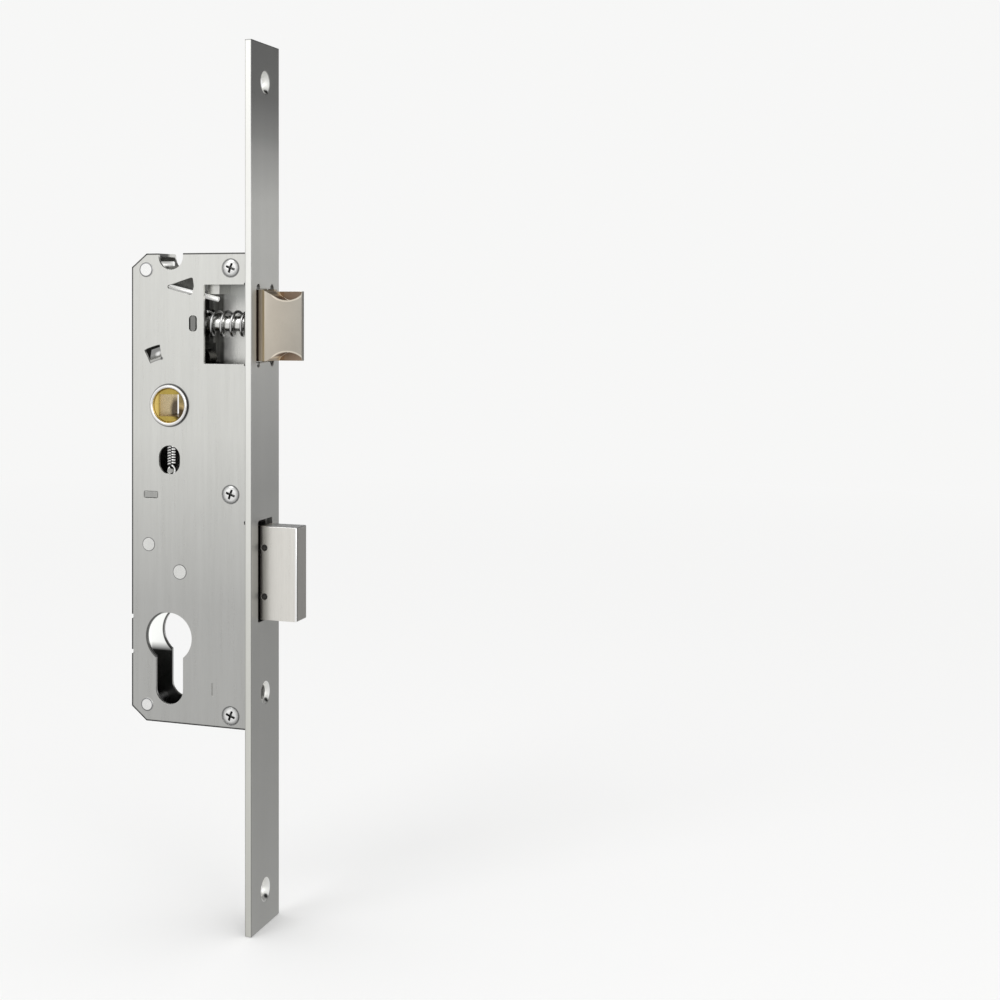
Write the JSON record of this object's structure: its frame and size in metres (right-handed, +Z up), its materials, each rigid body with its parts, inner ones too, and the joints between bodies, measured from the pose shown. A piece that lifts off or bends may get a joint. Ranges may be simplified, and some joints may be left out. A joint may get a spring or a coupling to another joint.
{
  "type": "sliding door mortise lock",
  "caption": "Mortise lock for a sliding or swing door: sprung bevelled latch, rectangular deadbolt, square spindle hub and a profile cylinder hole in a slim steel case.",
  "frame": {"origin": "spindle axis, halfway through the thickness of the case", "axes": "+X out of the door's edge, the way the bolts are thrown; +Y from the cover plate to the back of the case; +Z up along the faceplate"},
  "size_m": [0.0645, 0.026, 0.32],
  "materials": {
    "case_steel": "brushed, zinc plated",
    "faceplate_steel": "brushed stainless",
    "latch_nickel": "satin nickel",
    "deadbolt_nickel": "satin nickel",
    "hub_brass": "yellow passivated",
    "collar_steel": "bright",
    "screw_steel": "bright zinc",
    "spring_steel": "bright drawn wire"
  },
  "bodies": {
    "case": {"faceplate": "faceplate_steel", "case_tray": "case_steel", "case_cover": "case_steel", "case_pillars": "screw_steel", "case_screws": "screw_steel", "upper_corner_post": "case_steel", "lower_corner_post": "case_steel", "hub_collar_near": "collar_steel", "hub_collar_far": "collar_steel", "hub_spring": "spring_steel", "hub_spring_anchor": "screw_steel", "latch_guide": "case_steel", "latch_bush": "hub_brass", "latch_spring": "spring_steel", "steady_spring": "spring_steel", "deadbolt_guide_post": "screw_steel", "detent_post": "screw_steel", "detent_spring": "spring_steel", "detent_spring_rest": "case_steel"},
    "spindle_hub": {"hub": "hub_brass"},
    "latch": {"latch_head": "latch_nickel", "latch_shaft": "latch_nickel", "latch_tail": "case_steel", "latch_tail_clip": "spring_steel"},
    "deadbolt": {"deadbolt_head": "deadbolt_nickel", "deadbolt_tail": "case_steel", "deadbolt_pins": "screw_steel"}
  },
  "joints": [
    {"name": "hub_turn", "type": "hinge", "parent": "case", "child": "spindle_hub", "pos_m": [0, 0, 0], "axis": [0, -1, 0], "range_deg": [0, 35.18], "stiffness_Nm_per_rad": 0.5, "springref_deg": -22.92, "deforming": ["hub_spring"]},
    {"name": "latch_slide", "type": "slide", "parent": "case", "child": "latch", "axis": [-1, 0, 0], "range_m": [0, 0.0125], "stiffness_N_per_m": 400, "springref_m": -0.006, "deforming": ["latch_spring"]},
    {"name": "deadbolt_slide", "type": "slide", "parent": "case", "child": "deadbolt", "axis": [-1, 0, 0], "range_m": [0, 0.0138], "deforming": ["detent_spring"]}
  ],
  "couplings": [
    {"joint": "hub_turn", "follows": "latch_slide", "rad_per_m": 49.112}
  ]
}
